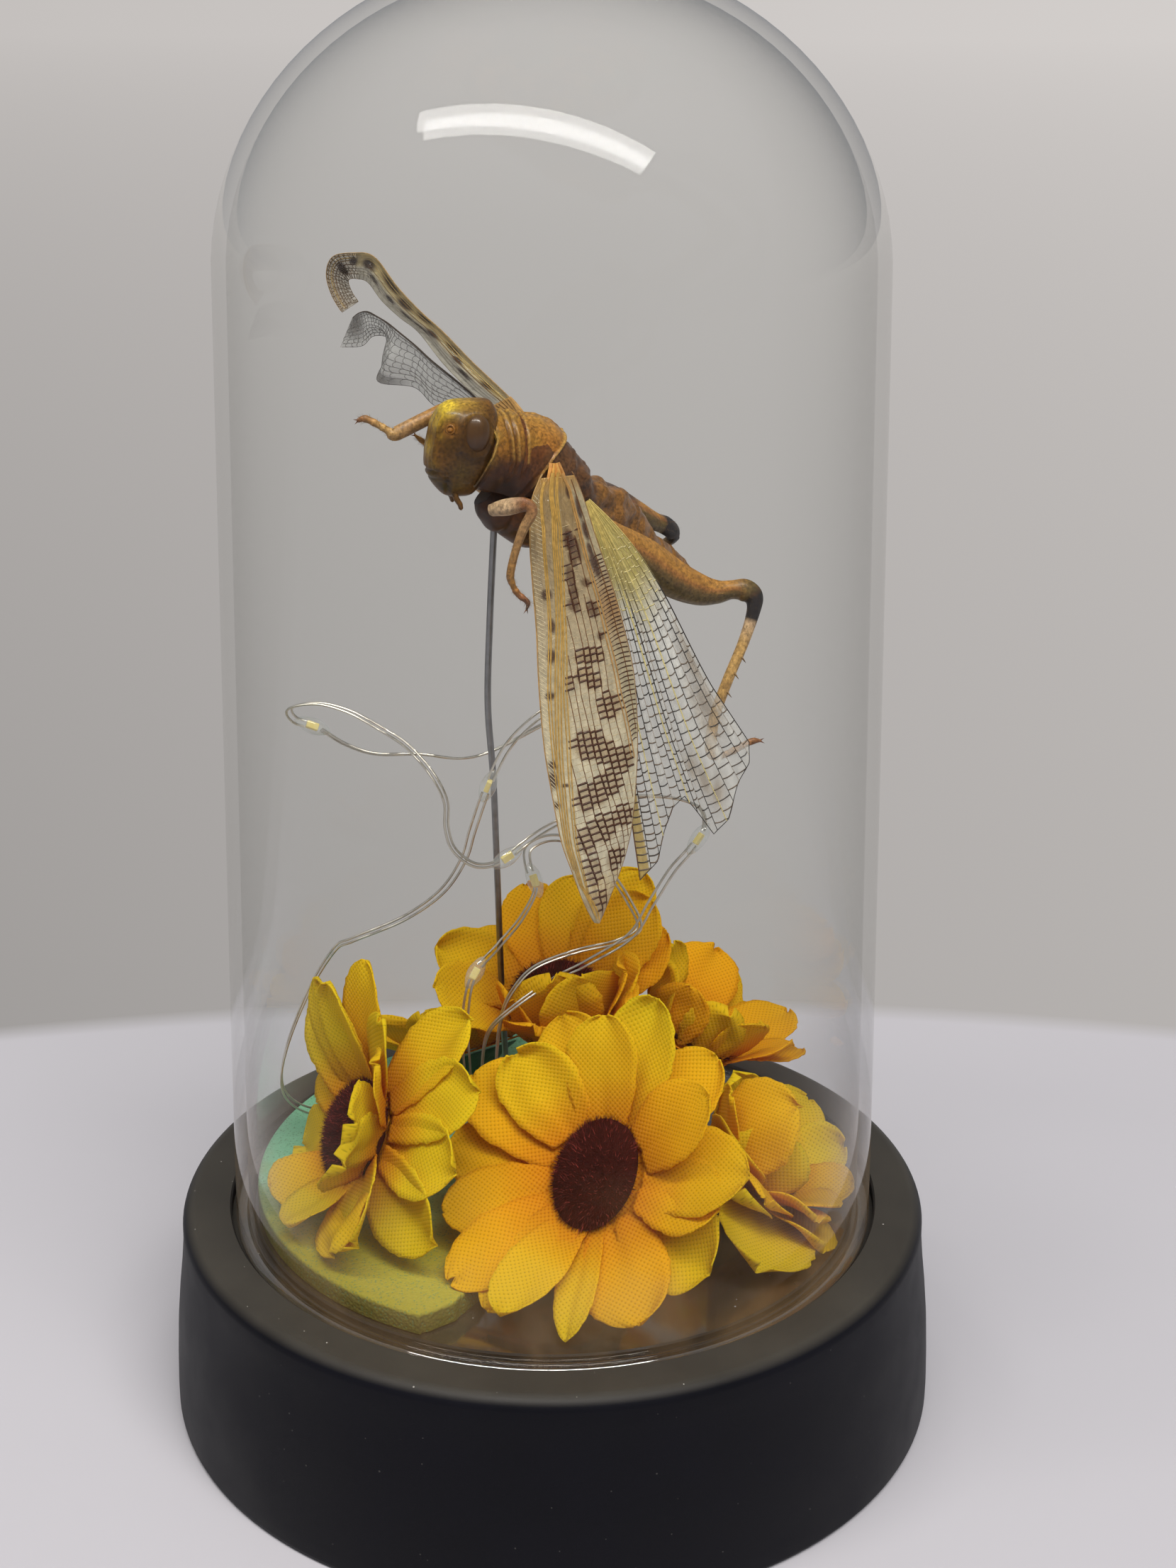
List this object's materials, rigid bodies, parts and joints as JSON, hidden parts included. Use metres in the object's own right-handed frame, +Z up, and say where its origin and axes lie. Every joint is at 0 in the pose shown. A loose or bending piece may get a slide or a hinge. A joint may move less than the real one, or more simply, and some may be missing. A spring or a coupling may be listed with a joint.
{
  "type": "insect in glass dome",
  "caption": "Dried locust with spread wings on a wire stand inside a clear dome on a round black base, over cloth sunflowers and a string of small lights.",
  "frame": {"origin": "middle of the underside of the base, on the table", "axes": "+Z up along the dome's axis, -Y to the front of the display (the near wings and the front flower), +X to the right as seen from the front"},
  "size_m": [0.11, 0.11, 0.1987],
  "materials": {
    "black_plastic": "moulded black plastic, satin, with a faint grain",
    "clear_dome": "clear moulded dome, polished",
    "mint_foam": "soft mint-green craft foam, dull",
    "stand_steel": "dull grey steel wire",
    "shell_ochre": "dried insect shell, satin, ochre and olive with brown grooves",
    "wing_membrane": "leathery cream wing skin with ochre veins and brown spots",
    "hind_membrane": "thin clear wing skin with a net of dark veins",
    "leg_brown": "dried insect leg, satin, orange-brown to pinkish",
    "petal_cloth": "woven yellow cloth, stiffened and heat-formed, orange at the throat",
    "flock_burgundy": "short dense burgundy-black flock",
    "stem_green": "dark green moulded plastic",
    "silver_wire": "thin bare silver wire pair, shiny",
    "resin_drop": "clear resin drop over a yellow chip"
  },
  "bodies": {
    "root": {"base_body": "black_plastic", "base_cover": "black_plastic", "dome": "clear_dome", "flower_centre_centre": "flock_burgundy", "flower_centre_petals": "petal_cloth", "flower_centre_stem": "stem_green", "flower_front_centre": "flock_burgundy", "flower_front_petals": "petal_cloth", "flower_front_stem": "stem_green", "flower_left_centre": "flock_burgundy", "flower_left_petals": "petal_cloth", "flower_left_stem": "stem_green", "flower_rear_centre": "flock_burgundy", "flower_rear_petals": "petal_cloth", "flower_rear_right_centre": "flock_burgundy", "flower_rear_right_petals": "petal_cloth", "flower_rear_right_stem": "stem_green", "flower_rear_stem": "stem_green", "flower_right_centre": "flock_burgundy", "flower_right_petals": "petal_cloth", "flower_right_stem": "stem_green", "foam_block": "mint_foam", "light_inner_drop_1": "resin_drop", "light_inner_drop_2": "resin_drop", "light_inner_wire_1": "silver_wire", "light_inner_wire_2": "silver_wire", "light_inner_wire_3": "silver_wire", "light_outer_drop_1": "resin_drop", "light_outer_drop_2": "resin_drop", "light_outer_drop_3": "resin_drop", "light_outer_drop_4": "resin_drop", "light_outer_wire_1": "silver_wire", "light_outer_wire_2": "silver_wire", "light_outer_wire_3": "silver_wire", "light_outer_wire_4": "silver_wire", "light_outer_wire_5": "silver_wire", "locust_body": "shell_ochre", "locust_far_foreleg": "leg_brown", "locust_far_forewing": "wing_membrane", "locust_far_hindleg": "leg_brown", "locust_far_hindwing": "hind_membrane", "locust_far_midleg": "leg_brown", "locust_near_foreleg": "leg_brown", "locust_near_forewing": "wing_membrane", "locust_near_hindleg": "leg_brown", "locust_near_hindwing": "hind_membrane", "locust_near_midleg": "leg_brown", "stand_wire": "stand_steel"}
  },
  "joints": []
}
